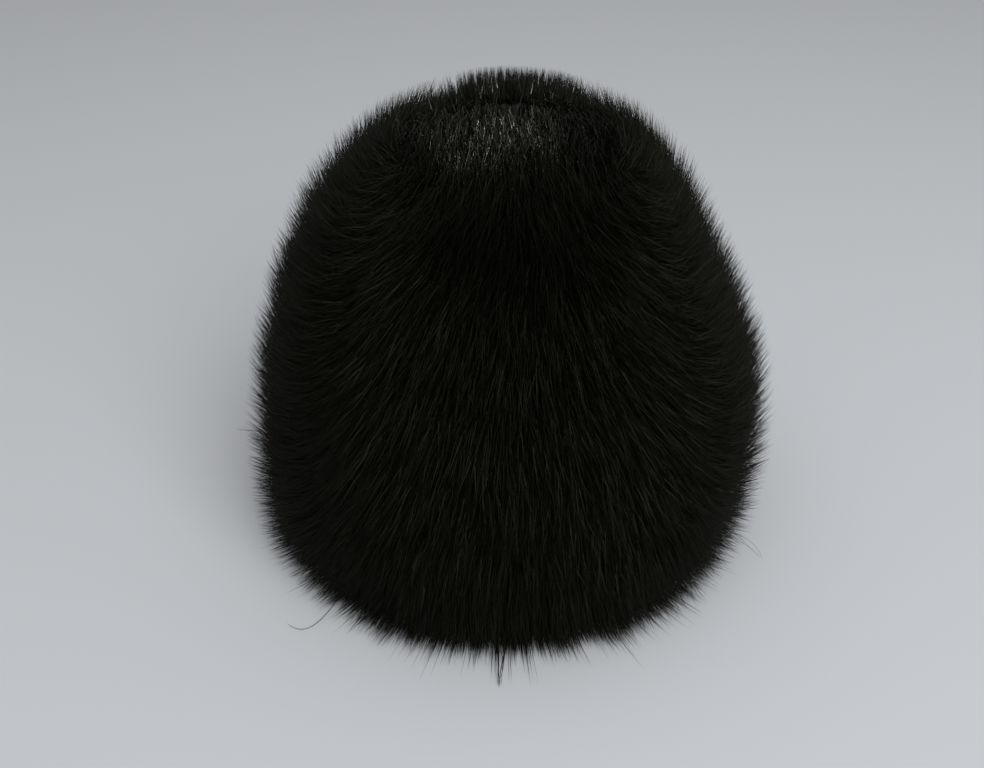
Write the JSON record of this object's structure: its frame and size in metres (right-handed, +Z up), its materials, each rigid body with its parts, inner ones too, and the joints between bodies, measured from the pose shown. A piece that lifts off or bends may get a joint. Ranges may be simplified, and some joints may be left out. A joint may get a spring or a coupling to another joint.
{
  "type": "fur hat",
  "caption": "Tall rounded hat of black fur, sewn from pelt panels that meet at the crown, hollow and open below for the head.",
  "frame": {"origin": "middle of the hat's outline on the surface that its rim rests on", "axes": "+Z up to the crown, -Y to the front that the picture shows, +X to the viewer's right"},
  "size_m": [0.2256, 0.2498, 0.1848],
  "materials": {
    "black_fur": "glossy black fur on a suede hide"
  },
  "bodies": {
    "root": {"front_panel": "black_fur", "right_panel": "black_fur", "back_panel": "black_fur", "left_panel": "black_fur"}
  },
  "joints": []
}
